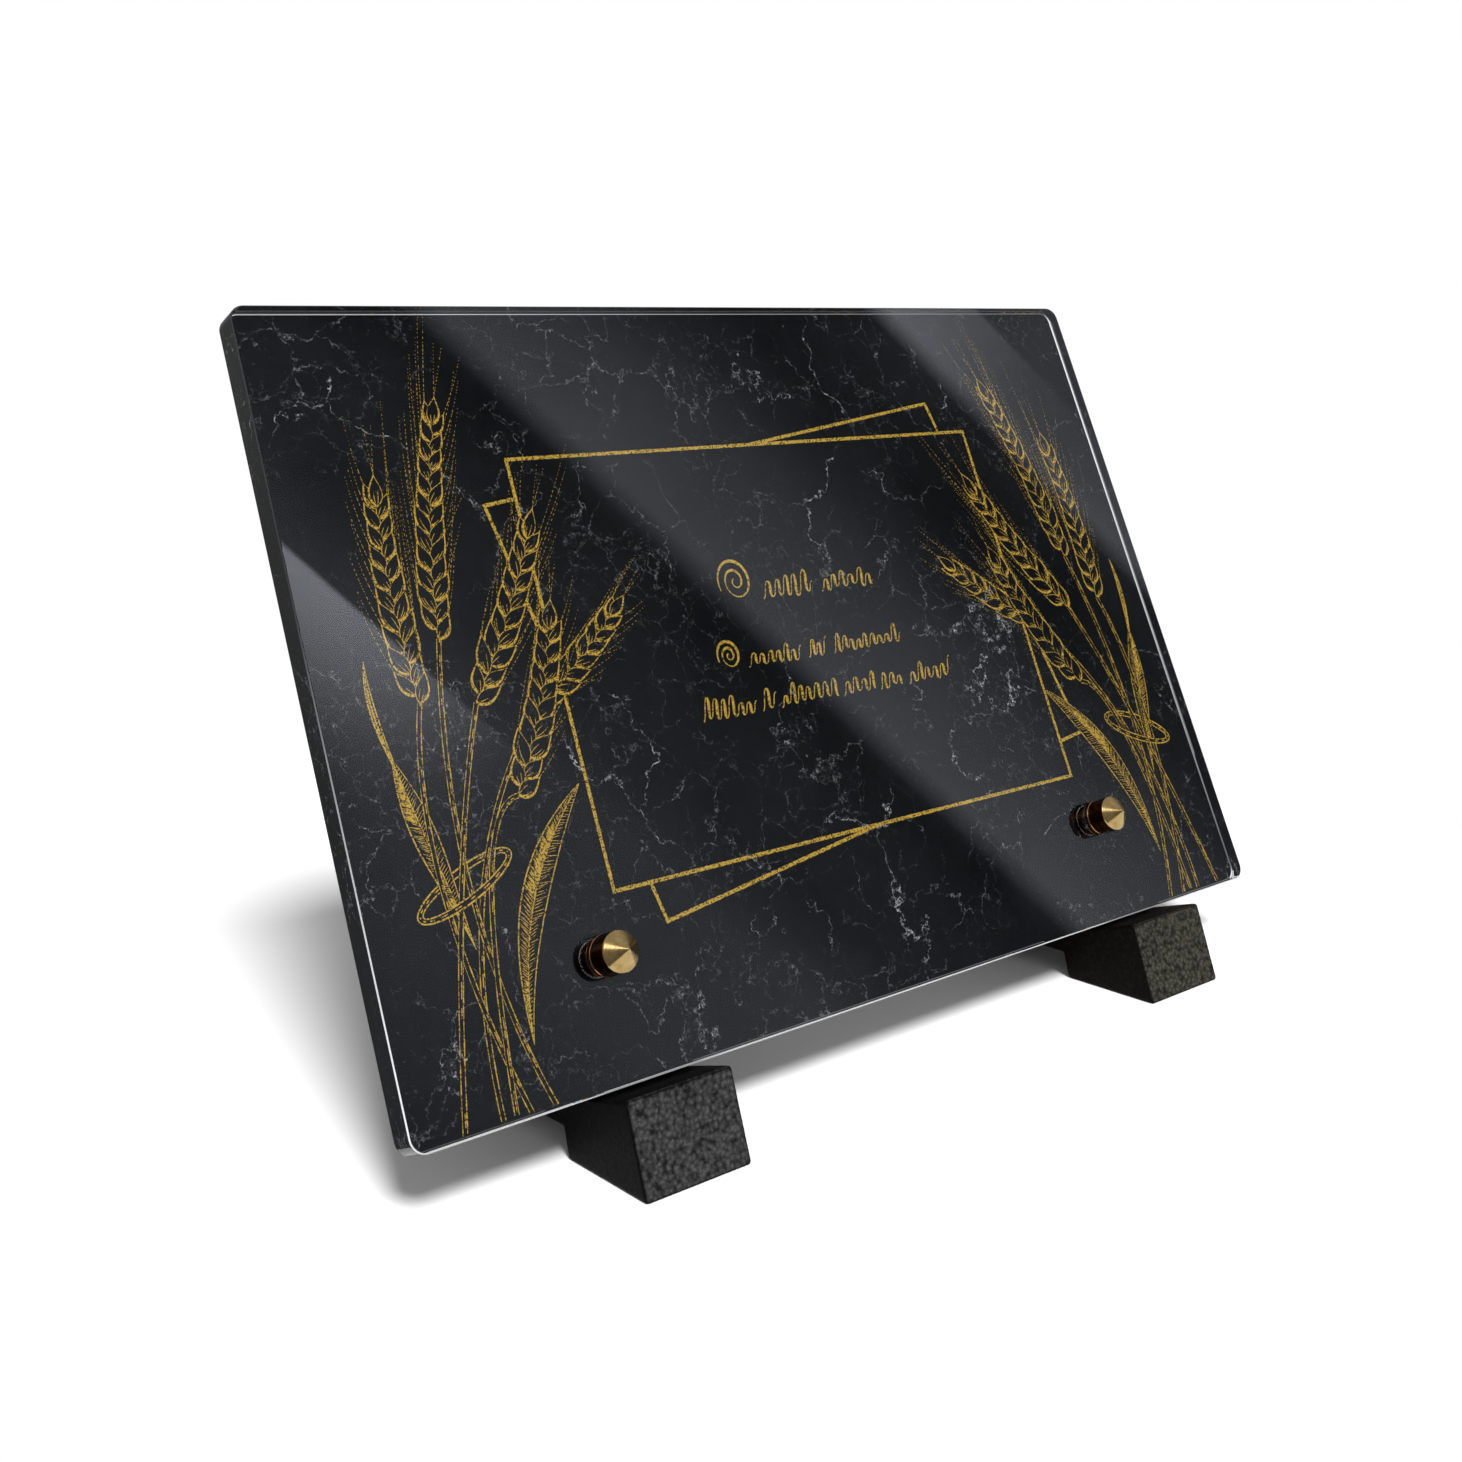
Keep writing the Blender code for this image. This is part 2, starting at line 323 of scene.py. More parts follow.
def brass_material():
    """Turned brass, with fine tool marks round the piece's own Z. The cap's side is painted dark brown,
    a painted shade, and its rim against the slab is painted bright copper, a painted highlight."""
    material, tree, shader = new_material("turned_brass")
    place = object_place(tree)
    parts = parts_of(tree, place)
    squared = maths(tree, "MULTIPLY", parts["Y"], parts["Y"])
    squared = maths(tree, "MULTIPLY_ADD", parts["X"], parts["X"], squared)
    radius = maths(tree, "SQRT", squared)
    along = maths(tree, "ADD", radius, parts["Z"])
    rings = maths(tree, "MULTIPLY", along, 9000.0)
    marks = noise_value(tree, add_node(tree, "ShaderNodeCombineXYZ", {"X": rings}).outputs[0], 1.0, 2.0)
    tarnish = noise_value(tree, place, 420.0, 4.0, 0.6)
    color = color_ramp(tree, tarnish, ((0.30, (0.31, 0.21, 0.080)), (0.65, (0.50, 0.36, 0.155))))
    # Painted shade: the cap's side between its base and its rim is painted dark brown
    below = smooth_step(tree, parts["Z"], CAP_LENGTH - 0.0002, CAP_LENGTH - 0.0001, 1.0, 0.0)
    above = smooth_step(tree, parts["Z"], 0.00065, 0.00075)
    painted_dark_side = maths(tree, "MULTIPLY", below, above)
    color = mixed_color(tree, painted_dark_side, color, (0.090, 0.028, 0.005, 1.0))
    # Painted highlight: the rim at the cap's base is painted bright copper
    painted_rim_highlight = smooth_step(tree, parts["Z"], 0.0008, 0.0007)
    color = mixed_color(tree, painted_rim_highlight, color, (0.80, 0.36, 0.13, 1.0))
    tree.links.new(color, shader.inputs["Base Color"])
    tree.links.new(smooth_step(tree, marks, 0.3, 0.7, 0.13, 0.22), shader.inputs["Roughness"])
    shader.inputs["Metallic"].default_value = 1.0
    add_bump(tree, shader, marks, 0.000012)
    return material


def granite_material(name, sawn, hammered, painted_highlight):
    """Dark granite: nearly black where it is sawn, greyer where the mesh says it is hammered. There its
    pits and furrows are painted darker as painted shade, and the grain tops lighter as a painted
    highlight.
    """
    material, tree, shader = new_material(name)
    place = object_place(tree)
    rough = add_node(tree, "ShaderNodeAttribute", attribute_name="hammered").outputs["Fac"]
    pits = add_node(tree, "ShaderNodeAttribute", attribute_name="pit_depth").outputs["Fac"]
    coarse = noise_value(tree, place, 900.0, 3.0, 0.6)
    fine = noise_value(tree, place, 2600.0, 2.0, 0.5, 4.0)
    bent = bent_place(tree, place, 900.0, 0.0010, 2.0, 3.0)
    inputs = {"Vector": bent, "Scale": 1.0 / KNOCK_SIZE, "Smoothness": 0.35}
    knocks = add_node(tree, "ShaderNodeTexVoronoi", inputs, feature="SMOOTH_F1").outputs["Distance"]
    # Painted shade and highlight: the deeper the pit or furrow the darker the colour, down to the
    # darkest colour below; the grain tops run to the painted highlight colour
    deep = maths(tree, "MULTIPLY_ADD", pits, 0.25, maths(tree, "MULTIPLY", knocks, 0.85))
    shade = maths(tree, "SUBTRACT", maths(tree, "MULTIPLY_ADD", coarse, 0.25, 0.90), deep)
    low = tuple(value * 0.20 for value in hammered)
    front = color_ramp(tree, shade, ((0.15, low), (0.55, hammered), (0.90, painted_highlight)))
    dark = tuple(value * 0.5 for value in sawn)
    light = tuple(value * 2.4 for value in sawn)
    side = color_ramp(tree, coarse, ((0.40, dark), (0.55, sawn), (0.75, light)))
    tree.links.new(mixed_color(tree, rough, side, front), shader.inputs["Base Color"])
    tree.links.new(smooth_step(tree, fine, 0.3, 0.7, 0.45, 0.62), shader.inputs["Roughness"])
    shader.inputs["Specular IOR Level"].default_value = 0.05
    relief = maths(tree, "MULTIPLY", maths(tree, "MULTIPLY_ADD", knocks, -5.0, fine), rough)
    add_bump(tree, shader, maths(tree, "MULTIPLY_ADD", fine, 0.25, relief), 0.00012)
    return material


def floor_material():
    material, tree, shader = new_material("pale_floor")
    shader.inputs["Base Color"].default_value = (0.82, 0.82, 0.82, 1.0)
    shader.inputs["Roughness"].default_value = 0.9
    shader.inputs["Specular IOR Level"].default_value = 0.0
    return material


# Meshes

def make_object(name, mesh, material, slot=None, place=None):
    """An object of one material. With a slot it is a piece of the part and rides its body."""
    obj = bpy.data.objects.new(name, mesh)
    bpy.context.scene.collection.objects.link(obj)
    if place is not None:
        obj.matrix_world = place
    mesh.materials.clear()
    mesh.materials.append(material)
    if slot:
        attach(obj, BODY)
    return obj


def mesh_from(name, bm):
    mesh = bpy.data.meshes.new(name)
    bm.to_mesh(mesh)
    bm.free()
    return mesh


def rounded_rectangle(width, height, radius, inset):
    """Counter-clockwise (x, z) points of a rounded outline on z = 0, drawn in by an inset."""
    half = width / 2 - inset
    r = radius - inset
    centres = ((half - r, inset + r, -90), (half - r, height - inset - r, 0),
               (r - half, height - inset - r, 90), (r - half, inset + r, 180))
    points = []
    for x, z, start in centres:
        for step in range(CORNER_STEPS + 1):
            angle = math.radians(start + 90 * step / CORNER_STEPS)
            points.append((x + r * math.cos(angle), z + r * math.sin(angle)))
    return points


def circle(x, z, radius, steps=64):
    turn = 2 * math.pi / steps
    return [(x + radius * math.cos(turn * n), z + radius * math.sin(turn * n)) for n in range(steps)]


def flat_shape(name, outlines, depth, thickness):
    """A thin sheet in the slab's frame, its front at a depth. Outlines after the first are holes."""
    curve = bpy.data.curves.new(name, "CURVE")
    curve.dimensions = "2D"
    curve.fill_mode = "BOTH"
    curve.extrude = thickness / 2
    for outline in outlines:
        spline = curve.splines.new("POLY")
        spline.points.add(len(outline) - 1)
        spline.use_cyclic_u = True
        for point, (x, z) in zip(spline.points, outline):
            point.co = (x, z, 0.0, 1.0)
    holder = bpy.data.objects.new(name, curve)
    bpy.context.scene.collection.objects.link(holder)
    bpy.context.view_layer.update()
    evaluated = holder.evaluated_get(bpy.context.evaluated_depsgraph_get())
    mesh = bpy.data.meshes.new_from_object(evaluated)
    bpy.data.objects.remove(holder)
    bpy.data.curves.remove(curve)
    bm = bmesh.new()
    bm.from_mesh(mesh)
    bpy.data.meshes.remove(mesh)
    bmesh.ops.remove_doubles(bm, verts=bm.verts, dist=0.000001)
    bm.transform(Matrix.Translation((0, depth + thickness / 2, 0)) @ UPRIGHT)
    return mesh_from(name, bm)


def build_print(material):
    """The dark marble-look print: a thin sheet sealed in the slab, with a hole round each bore."""
    outlines = [rounded_rectangle(SLAB_WIDTH, SLAB_HEIGHT, SLAB_CORNER_RADIUS, PRINT_EDGE_INSET)]
    for side in (-1, 1):
        outlines.append(circle(side * SCREW_X, SCREW_UP_SLAB, BORE_DIAMETER / 2 + PRINT_HOLE_MARGIN))
    mesh = flat_shape("marble_print", outlines, PRINT_DEPTH, PRINT_THICKNESS)
    make_object("marble_print", mesh, material, "marble_print", SLAB)


def build_bevel(material):
    """The ground bevel round the slab's front: a narrow ring laid on the slab's own bevel. Its mesh
    is in world coordinates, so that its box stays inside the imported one."""
    bm = bmesh.new()
    rings = []
    for share in BEVEL_SHARES:
        inset = SLAB_CHAMFER * (1 - share) - BEVEL_LIFT
        depth = SLAB_CHAMFER * share - BEVEL_LIFT
        outline = rounded_rectangle(SLAB_WIDTH, SLAB_HEIGHT, SLAB_CORNER_RADIUS, inset)
        rings.append([bm.verts.new((x, depth, z)) for x, z in outline])
    inner, outer = rings
    for n in range(len(inner)):
        after = (n + 1) % len(inner)
        bm.faces.new((inner[n], inner[after], outer[after], outer[n]))
    bm.transform(SLAB)
    make_object("ground_bevel", mesh_from("ground_bevel", bm), material, "clear_acrylic")


def screw_profile():
    """Radius and height of the turned screw, from its point to its hidden end, with broken edges."""
    cap = CAP_DIAMETER / 2
    shank = SHANK_DIAMETER / 2
    end = -(CONTACT_GAP + SLAB_THICKNESS + CONTACT_GAP + SHANK_IN_FOOT)
    slope = CAP_POINT / cap
    top = CAP_LENGTH + CAP_POINT
    profile = [
        (0.0, top - TIP_RADIUS * 0.62),
        (TIP_RADIUS * 0.5, top - TIP_RADIUS * 0.75),
        (TIP_RADIUS, top - TIP_RADIUS * slope * 1.15),
    ]
    for ring in range(1, CONE_RINGS + 1):
        radius = TIP_RADIUS + (cap - RIM_BREAK - TIP_RADIUS) * ring / CONE_RINGS
        profile.append((radius, CAP_LENGTH + (cap - radius) * slope))
    profile += [
        (cap - RIM_BREAK * 0.3, CAP_LENGTH - RIM_BREAK * 0.1),
        (cap, CAP_LENGTH - RIM_BREAK),
        (cap, CAP_BASE_CHAMFER * 3.2),
        (cap - GROOVE_DEPTH, CAP_BASE_CHAMFER * 2.9),
        (cap - GROOVE_DEPTH, CAP_BASE_CHAMFER * 2.5),
        (cap, CAP_BASE_CHAMFER * 2.2),
        (cap, CAP_BASE_CHAMFER),
        (cap - CAP_BASE_CHAMFER * 0.3, CAP_BASE_CHAMFER * 0.3),
        (cap - CAP_BASE_CHAMFER, 0.0),
        (shank, 0.0),
        (shank, end),
        (0.0, end),
    ]
    return profile


def build_screw(side, x, material):
    """A turned brass screw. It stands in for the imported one."""
    bm = bmesh.new()
    rings = []
    for radius, height in screw_profile():
        points = circle(0.0, 0.0, radius, TURNING_STEPS) if radius else [(0.0, 0.0)]
        rings.append([bm.verts.new((px, py, height)) for px, py in points])
    for upper, lower in zip(rings, rings[1:]):
        for n in range(TURNING_STEPS):
            after = (n + 1) % TURNING_STEPS
            if len(upper) == 1:
                bm.faces.new((upper[0], lower[n], lower[after]))
            elif len(lower) == 1:
                bm.faces.new((upper[n], lower[0], upper[after]))
            else:
                bm.faces.new((upper[n], lower[n], lower[after], upper[after]))
    bmesh.ops.recalc_face_normals(bm, faces=bm.faces)
    mesh = mesh_from(side + "_brass_screw", bm)
    mesh.shade_smooth()
    mesh.set_sharp_from_angle(angle=math.radians(34))
    place = SLAB @ Matrix.Translation((x, -CONTACT_GAP, SCREW_UP_SLAB)) @ UPRIGHT
    screw = make_object(side + "_brass_screw", mesh, material, "brass", place)
    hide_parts(side + "_screw")


def remeshed(source, cell):
    """A copy of a node's surface as an even net of small faces."""
    holder = bpy.data.objects.new("stone_net", source.data.copy())
    bpy.context.scene.collection.objects.link(holder)
    modifier = holder.modifiers.new("net", "REMESH")
    modifier.mode = "VOXEL"
    modifier.voxel_size = cell
    bpy.context.view_layer.update()
    evaluated = holder.evaluated_get(bpy.context.evaluated_depsgraph_get())
    mesh = bpy.data.meshes.new_from_object(evaluated)
    bpy.data.objects.remove(holder)
    return mesh


def pit_depth(place, seed):
    """How deep the stone is knocked away, 0 to 1: rounded grains with furrows between them."""
    moved = place + Vector((seed, seed * 0.7, seed * 1.3))
    push = noise.noise_vector(moved * 700.0) * 0.35
    stretched = Vector((moved.x, moved.y, moved.z + 0.35 * moved.x)) / KNOCK_SIZE + push
    near = noise.voronoi(stretched)[0]
    furrow = 1.0 - min((near[1] - near[0]) * 1.7, 1.0)
    wide = noise.noise(moved * 260.0)
    return min(max(0.70 * furrow + 0.15 + 0.25 * wide, 0.0), 1.0)


def build_foot(side, material, seed):
    """A granite foot on the node's own planes: hammered in front, sawn elsewhere, its edges worn."""
    node = bpy.data.objects[side + "_foot"]
    mesh = remeshed(node, STONE_CELL)
    bm_source = bmesh.new()
    bm_source.from_mesh(node.data)
    tree = BVHTree.FromBMesh(bm_source)
    front_normal = Vector((0.0, -math.cos(FRONT_LEAN), math.sin(FRONT_LEAN)))
    ledge_normal = Vector((0.0, -math.sin(LEDGE_SLOPE), math.cos(LEDGE_SLOPE)))
    bm = bmesh.new()
    bm.from_mesh(mesh)
    bpy.data.meshes.remove(mesh)
    rough = bm.verts.layers.float.new("hammered")
    pits = bm.verts.layers.float.new("pit_depth")
    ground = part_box(side + "_foot")[0].z
    for vert in bm.verts:
        vert.co = tree.find_nearest(vert.co)[0]
    axes = {"use_axis_x": True, "use_axis_y": True, "use_axis_z": True}
    bmesh.ops.smooth_vert(bm, verts=bm.verts, factor=0.5, **axes)
    bm.normal_update()
    moves = []
    for vert in bm.verts:
        facing = vert.normal.dot(front_normal)
        hammered = min(max((facing - 0.80) / 0.15, 0.0), 1.0)
        smooth_ledge = vert.normal.dot(ledge_normal) > 0.97
        vert[rough] = max(hammered, LEDGE_GREY if smooth_ledge else 0.0)
        sawn = SAWN_DEPTH * (0.3 if smooth_ledge else 1.0)
        depth = sawn * (1 - hammered) + HAMMER_DEPTH * hammered
        pit = pit_depth(vert.co, seed)
        # The pit depth is also kept for the granite material, which paints deep pits darker as painted
        # shade
        vert[pits] = pit
        moves.append(vert.normal * (-depth * pit))
    for vert, move in zip(bm.verts, moves):
        vert.co += move
        vert.co.z = max(vert.co.z, ground)
    bm_source.free()
    mesh = mesh_from(side + "_granite_foot", bm)
    mesh.shade_smooth()
    foot = make_object(side + "_granite_foot", mesh, material, "granite")
    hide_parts(side + "_foot")


# The gold artwork, drawn in millimetres: u across from the slab's middle, v up from its bottom edge

ART_MARGIN = 0.9
ART_SPACING = 0.35
SCRIPT_SLANT = 0.26
FRAME_LINE = 1.0
AWN_WIDTH = 0.17
AWN_STEP = 0.24
STRAW_WIDTH = 1.15
STRAW_END = 0.8
TIE_CENTRE = (-120.5, 54.0)
TIE_REACH = 14.0
TIE_HEIGHT = 3.4
TIE_HALF_WIDTH = 0.75
TIE_TILT = math.radians(22)
TIE_POINTS = 90
EAR_POINTS = 80

# The frames' corners, anticlockwise
FRONT_FRAME = ((-81.2, 44.3), (90.0, 44.3), (90.0, 158.1), (-81.2, 158.1))
TURNED_FRAME = ((-68.0, 34.0), (100.4, 56.6), (76.9, 168.2), (-90.9, 146.0))

# The left sheaf's ears: base, tip, bow, width, pairs of grains, the side where the awns stand open (1 is
# left), and where the straw crosses the tie and the bottom edge
EARS = (
    ((-88.0, 94.0), (-60.5, 114.0), -1.5, 9.5, 7, -1, -115.5, -124.5),
    ((-112.5, 113.0), (-99.5, 171.0), 3.0, 10.0, 12, -1, -119.5, -110.5),
    ((-121.5, 98.0), (-120.5, 150.0), 2.5, 10.5, 10, 1, -126.5, -117.0),
    ((-106.5, 96.0), (-80.0, 138.0), -2.5, 10.5, 9, 1, -121.5, -134.5),
    ((-101.0, 72.0), (-80.5, 113.5), -3.0, 12.0, 9, -1, -113.5, -121.0),
)

# Its leaves: the four places that bend the blade, its width, and its peak (over 1 is nearer the tip)
LEAVES = (
    (((-130.5, 80.0), (-133.5, 92.0), (-135.0, 100.0), (-133.5, 110.0)), 1.5, 1.15),
    (((-121.5, 39.0), (-125.0, 56.0), (-128.5, 68.0), (-131.8, 86.0)), 6.2, 1.5),
    (((-112.5, 15.0), (-110.0, 40.0), (-101.0, 56.0), (-83.5, 72.0)), 7.0, 1.15),
)

# The inscription's rows: height up the slab, wave height, the opening spiral's size and place, and each
# word's start and length
ROWS = (
    (112.2, 5.4, 13.5, -17.8, ((-9.5, 18.0), (12.5, 18.5))),
    (93.8, 4.6, 9.0, -26.8, ((-21.0, 18.5), (1.0, 6.5), (10.5, 26.0))),
    (81.2, 4.9, 0.0, 0.0, (
        (-41.0, 17.5), (-20.5, 3.5), (-13.5, 20.0), (9.5, 12.0), (24.0, 8.5), (35.5, 15.5),
    )),
)


def on_sheet(points):
    """Which points lie on the printed sheet."""
    width = SLAB_WIDTH / MM / 2 - ART_MARGIN
    top = SLAB_HEIGHT / MM - ART_MARGIN
    u, v = points.T
    return (np.abs(u) < width) & (v > ART_MARGIN) & (v < top)


class Drawing:
    """Printed strokes. A shape drawn later hides what lies under it, as in an engraving."""

    def __init__(self, capacity=600000):
        self.points = np.zeros((capacity, 2))
        self.widths = np.zeros(capacity)
        self.shown = np.zeros(capacity, dtype=bool)
        self.used = 0
        self.strokes = []

    def stroke(self, piece, points, widths, shown=None):
        """Add a line of a piece, with its width at each point and which points are printed."""
        first = self.used
        last = first + len(points)
        self.points[first:last] = points
        self.widths[first:last] = widths
        self.shown[first:last] = True if shown is None else shown
        self.shown[first:last] &= on_sheet(self.points[first:last])
        self.used = last
        self.strokes.append((piece, first, last))

    def hide(self, outline):
        """Hide all earlier strokes inside a closed outline."""
        outline = np.asarray(outline)
        low = outline.min(axis=0)
        high = outline.max(axis=0)
        points = self.points[:self.used]
        near = np.nonzero(np.all((points > low) & (points < high), axis=1) & self.shown[:self.used])[0]
        if len(near) == 0:
            return
        u, v = points[near].T
        inside = np.zeros(len(near), dtype=bool)
        following = np.roll(outline, -1, axis=0)
        for (u0, v0), (u1, v1) in zip(outline, following):
            if v0 == v1:
                continue
            crosses = ((v0 > v) != (v1 > v)) & (u < (u1 - u0) * (v - v0) / (v1 - v0) + u0)
            inside ^= crosses
        self.shown[near[inside]] = False

    def runs(self, piece):
        """The visible stretches of a piece's strokes."""
        for owner, first, last in self.strokes:
            if owner != piece:
                continue
            start = None
            for index in range(first, last):
                if self.shown[index] and start is None:
                    start = index
                if start is not None and (not self.shown[index] or index == last - 1):
                    end = index + 1 if self.shown[index] else index
                    if end - start > 1:
                        yield self.points[start:end], self.widths[start:end]
                    start = None


def bezier(controls, count):
    """Points along a quadratic or cubic curve."""
    controls = np.asarray(controls, dtype=float)
    t = np.linspace(0.0, 1.0, count)[:, None]
    s = 1 - t
    if len(controls) == 3:
        return s * s * controls[0] + 2 * s * t * controls[1] + t * t * controls[2]
    start, second, third, end = controls
    return s**3 * start + 3 * s * s * t * second + 3 * s * t * t * third + t**3 * end


def sides_of(points):
    """Unit normals to the left of a run of points."""
    along = np.gradient(points, axis=0)
    along /= np.maximum(np.linalg.norm(along, axis=1, keepdims=True), 1e-9)
    return np.stack((-along[:, 1], along[:, 0]), axis=1)


def swell(count, thin, thick, power=1.0):
    """A pen line's widths: thin at the ends and thick in the middle."""
    t = np.linspace(0.0, 1.0, count)
    return thin + (thick - thin) * np.sin(math.pi * t) ** power


def samples_for(length, spacing=ART_SPACING):
    return max(int(length / spacing), 6)


def curved_run(start, direction, bend, length, spacing):
    """Points along an evenly bent line, and each point's share of the way."""
    count = samples_for(length, spacing)
    q = np.linspace(0.0, 1.0, count)
    angles = direction + bend * q
    steps = np.stack((np.cos(angles), np.sin(angles)), axis=1) * (length / (count - 1))
    return start + np.concatenate((np.zeros((1, 2)), np.cumsum(steps[:-1], axis=0))), q


def draw_grain(drawing, piece, base, direction, bend, length, width, side, rng):
    """A pointed grain: a bold outer edge, a fine inner edge and a few shading lines."""
    middle, q = curved_run(base, direction, bend, length, 0.25)
    count = len(q)
    half = width / 2 * np.sin(math.pi * q ** 0.75) ** 1.1
    normals = sides_of(middle) * side
    outer = middle + normals * half[:, None]
    inner = middle - normals * half[:, None]
    drawing.hide(np.concatenate((outer, inner[::-1])))
    bold = 0.62 + 0.25 * rng.random()
    swelling = (bold - 0.18) * np.clip(1.15 - q, 0.0, 1.0) * np.minimum(0.6 + 4 * q, 1.0)
    drawing.stroke(piece, outer, 0.18 + swelling)
    drawing.stroke(piece, inner, swell(count, 0.34, 0.24) - 0.12 * q)
    for place in (0.62, 0.3, -0.35):
        if rng.random() < 0.75:
            end = int(count * (0.30 + 0.30 * rng.random()))
            line = middle[1:end] + normals[1:end] * half[1:end, None] * place
            if len(line) > 2:
                drawing.stroke(piece, line, swell(len(line), 0.08, 0.20))
    return middle[-1]


def draw_awn(drawing, piece, start, direction, bend, length, rng):
    """A long thin bristle, printed as a row of specks that thins out towards its end."""
    points, q = curved_run(start, direction, bend, length, AWN_STEP)
    count = len(q)
    shown = np.ones(count, dtype=bool)
    index = int(count * 0.12 * rng.random()) + 2
    while index < count:
        gap = 1 + int(rng.random() * (1.2 + 2.0 * q[index]))
        shown[index:index + gap] = False
        index += gap + 2 + int(rng.random() * 5 * (1.15 - q[index]))
    drawing.stroke(piece, points, AWN_WIDTH * (0.86 - 0.30 * q), shown)


def draw_ear(drawing, piece, base, tip, bow, width, pairs, open_side, rng):
    """An ear of wheat: paired grains up a bent line, drawn from the tip down, each with an awn."""
    base = np.asarray(base, dtype=float)
    tip = np.asarray(tip, dtype=float)
    chord = tip - base
    length = np.linalg.norm(chord)
    across = np.array((-chord[1], chord[0])) / length
    control = (base + tip) / 2 + across * bow
    line = bezier((base, control, tip), EAR_POINTS)
    along = np.gradient(line, axis=0)
    headings = np.arctan2(along[:, 1], along[:, 0])
    grain = length / pairs * 1.85
    for row in range(pairs - 1, -1, -1):
        for side in (1, -1):
            t = min((row + (0.5 if side > 0 else 0.0)) / pairs, 0.97)
            index = int(t * (EAR_POINTS - 1))
            heading = headings[index]
            taper = 1.0 - 0.28 * t
            if t < 0.12:
                taper *= 0.82
            start = line[index] + np.array((math.cos(heading), math.sin(heading))) * 0.2
            spread = side * math.radians(34 - 8 * t + 6 * rng.random())
            size = grain * taper * (0.94 + 0.12 * rng.random())
            thick = width * 0.40 * taper
            lean = heading + spread
            end = draw_grain(drawing, piece, start, lean, -spread * 0.38, size, thick, side, rng)
            opened = 1.0 if side == open_side else 0.0
            flare = side * math.radians(5 + 5 * rng.random() + opened * (8 + 6 * rng.random()))
            reach = length * (0.38 + 0.20 * rng.random()) * (1.0 - 0.35 * opened)
            draw_awn(drawing, piece, end, heading + flare, -flare * 0.70, reach, rng)
            if rng.random() < 0.15:
                flare *= 1.6
                draw_awn(drawing, piece, end, heading + flare, -flare * 0.25, reach * 0.7, rng)
    heading = headings[-1]
    size = grain * 0.85
    end = draw_grain(drawing, piece, line[-4], heading, 0.02, size, width * 0.34, open_side, rng)
    for spread in (-4, 5):
        draw_awn(drawing, piece, end, heading + math.radians(spread), 0.0, length * 0.26, rng)


def draw_stem(drawing, piece, start, knot, end, width, rng):
    """A straw through the knot: two edges with broken shading between them."""
    start, knot, end = (np.asarray(place, dtype=float) for place in (start, knot, end))
    length = np.linalg.norm(start - end)
    count = samples_for(length)
    line = bezier((start, 2 * knot - (start + end) / 2, end), count)
    normals = sides_of(line)
    left = line + normals * width / 2
    right = line - normals * width / 2
    drawing.hide(np.concatenate((left, right[::-1])))
    run = np.linspace(0, 1, count) * length
    ripple = 0.08 * np.sin(run * 0.55 + 6 * rng.random()) + 0.06 * np.sin(run * 1.7)
    drawing.stroke(piece, left, 0.25 + ripple)
    drawing.stroke(piece, right, 0.20 - ripple)
    shade = (np.sin(run * 0.21 + 6 * rng.random()) + 0.8 * np.sin(run * 1.3 + 2)) > 0.35
    drawing.stroke(piece, line + normals * width * 0.14, np.full(count, 0.26), shade)


def draw_leaf(drawing, piece, controls, width, peak, shade_side, rng):
    """A long blade: outlines, a rib, one half closely shaded and the other lightly."""
    length = np.linalg.norm(np.asarray(controls[0]) - np.asarray(controls[-1])) * 1.1
    count = samples_for(length, 0.3)
    line = bezier(controls, count)
    normals = sides_of(line)
    q = np.linspace(0.0, 1.0, count)
    half = width / 2 * np.sin(math.pi * q ** peak) ** 0.9
    left = line + normals * half[:, None]
    right = line - normals * half[:, None]
    drawing.hide(np.concatenate((left, right[::-1])))
    drawing.stroke(piece, left, swell(count, 0.12, 0.40, 0.5))
    drawing.stroke(piece, right, swell(count, 0.12, 0.34, 0.5))
    drawing.stroke(piece, line, swell(count, 0.12, 0.34, 0.5))
    along = np.stack((normals[:, 1], -normals[:, 0]), axis=1)
    t = np.linspace(0, 1, 5)[:, None]
    for index in range(3, count - 3):
        solid = math.sin(index * 0.045 + 1.0) > 0.1
        start = line[index]
        outward = normals[index] * half[index] * shade_side
        forward = along[index] * half[index] * 0.5
        if index % 2 == 0 or solid:
            reach = 0.55 + 0.45 * rng.random()
            end = start + outward * reach + forward
            drawing.stroke(piece, start * (1 - t) + end * t, swell(5, 0.12, 0.34 if solid else 0.2))
        if index % 3 == 0:
            reach = 0.5 + 0.5 * rng.random()
            end = start - outward * reach + forward
            drawing.stroke(piece, start * (1 - t) + end * t, swell(5, 0.08, 0.18))


def draw_tie(drawing, piece, centre, tilt, start, end):
    """Part of the straw ring that holds the sheaf, between two angles."""
    t = np.linspace(math.radians(start), math.radians(end), TIE_POINTS)
    turn = np.array(((math.cos(tilt), -math.sin(tilt)), (math.sin(tilt), math.cos(tilt))))
    rings = []
    for grow in (TIE_HALF_WIDTH, -TIE_HALF_WIDTH):
        across = np.cos(t) * (TIE_REACH + grow)
        up = np.sin(t) * (TIE_HEIGHT + grow)
        rings.append(np.stack((across, up), axis=1) @ turn.T + centre)
    drawing.hide(np.concatenate((rings[0], rings[1][::-1])))
    drawing.stroke(piece, rings[0], swell(TIE_POINTS, 0.3, 0.42, 0.4))
    drawing.stroke(piece, rings[1], swell(TIE_POINTS, 0.3, 0.34, 0.4))
    middle = (rings[0] + rings[1]) / 2
    drawing.stroke(piece, middle, np.full(TIE_POINTS, 0.3), np.sin(t * 19) > -0.1)


